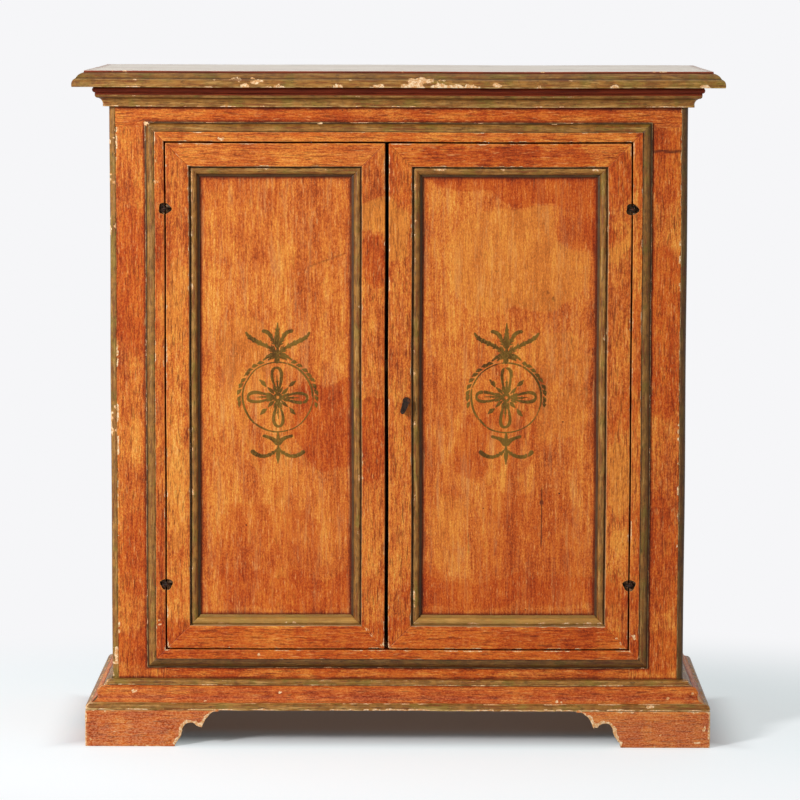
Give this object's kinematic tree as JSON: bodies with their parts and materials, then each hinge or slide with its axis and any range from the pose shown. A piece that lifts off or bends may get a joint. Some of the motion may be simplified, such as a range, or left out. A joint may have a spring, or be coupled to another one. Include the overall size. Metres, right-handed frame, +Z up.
{
  "type": "credenza",
  "caption": "Painted wooden credenza with a moulded top, panelled doors on linked iron eye hinges, an inner shelf, a turn latch and scrolled bracket feet; stores tableware and linen.",
  "frame": {"origin": "under the middle of the whole piece, on the floor", "axes": "+X to the viewer's right, +Y to the back, +Z up; the doors face -Y"},
  "size_m": [1, 0.455, 1.05],
  "materials": {
    "orange_paint": "worn paint imitating wood grain, satin",
    "green_paint": "worn olive paint, satin",
    "bare_wood": "unpainted old softwood, matt",
    "iron": "dark wrought iron, rubbed"
  },
  "bodies": {
    "case": {"back_boards": "bare_wood", "base_moulding_front": "green_paint", "base_moulding_left": "green_paint", "base_moulding_right": "green_paint", "bottom_board": "bare_wood", "bracket_front_left": "orange_paint", "bracket_front_right": "orange_paint", "bracket_side_left_back": "orange_paint", "bracket_side_left_front": "orange_paint", "bracket_side_right_back": "orange_paint", "bracket_side_right_front": "orange_paint", "case_eyes_left": "iron", "case_eyes_right": "iron", "corner_bead_left": "green_paint", "corner_bead_right": "green_paint", "cornice_front": "green_paint", "cornice_left": "green_paint", "cornice_right": "green_paint", "face_rail_bottom": "orange_paint", "face_rail_top": "orange_paint", "face_stile_left": "orange_paint", "face_stile_right": "orange_paint", "foot_blocks": "bare_wood", "shelf": "bare_wood", "shelf_cleats": "bare_wood", "side_left": "orange_paint", "side_right": "orange_paint", "surround_bottom": "green_paint", "surround_left": "green_paint", "surround_right": "green_paint", "surround_top": "green_paint", "top_board": "orange_paint", "top_cleats": "bare_wood"},
    "left_door": {"left_bead_bottom": "green_paint", "left_bead_left": "green_paint", "left_bead_right": "green_paint", "left_bead_top": "green_paint", "left_bottom_rail": "orange_paint", "left_door_eyes": "iron", "left_hinge_stile": "orange_paint", "left_meeting_stile": "orange_paint", "left_panel": "orange_paint", "left_top_rail": "orange_paint", "bolt_staples": "iron"},
    "right_door": {"right_bead_bottom": "green_paint", "right_bead_left": "green_paint", "right_bead_right": "green_paint", "right_bead_top": "green_paint", "right_bottom_rail": "orange_paint", "right_door_eyes": "iron", "right_hinge_stile": "orange_paint", "right_meeting_stile": "orange_paint", "right_panel": "orange_paint", "right_top_rail": "orange_paint"},
    "latch": {"latch_turn": "iron", "latch_tongue": "iron"},
    "bolt": {"bolt": "iron"}
  },
  "joints": [
    {"name": "left_door_hinge", "type": "hinge", "parent": "case", "child": "left_door", "pos_m": [-0.3608, -0.185, 0.54435], "axis": [0, 0, -1], "range_deg": [0, 170]},
    {"name": "right_door_hinge", "type": "hinge", "parent": "case", "child": "right_door", "pos_m": [0.3608, -0.185, 0.54435], "axis": [0, 0, 1], "range_deg": [0, 170]},
    {"name": "latch_turn_pivot", "type": "hinge", "parent": "right_door", "child": "latch", "pos_m": [0.013, -0.1845, 0.54], "axis": [0, 1, 0], "range_deg": [-20, 70]},
    {"name": "bolt_slide", "type": "slide", "parent": "left_door", "child": "bolt", "axis": [0, 0, 1], "range_m": [0, 0.02]}
  ]
}
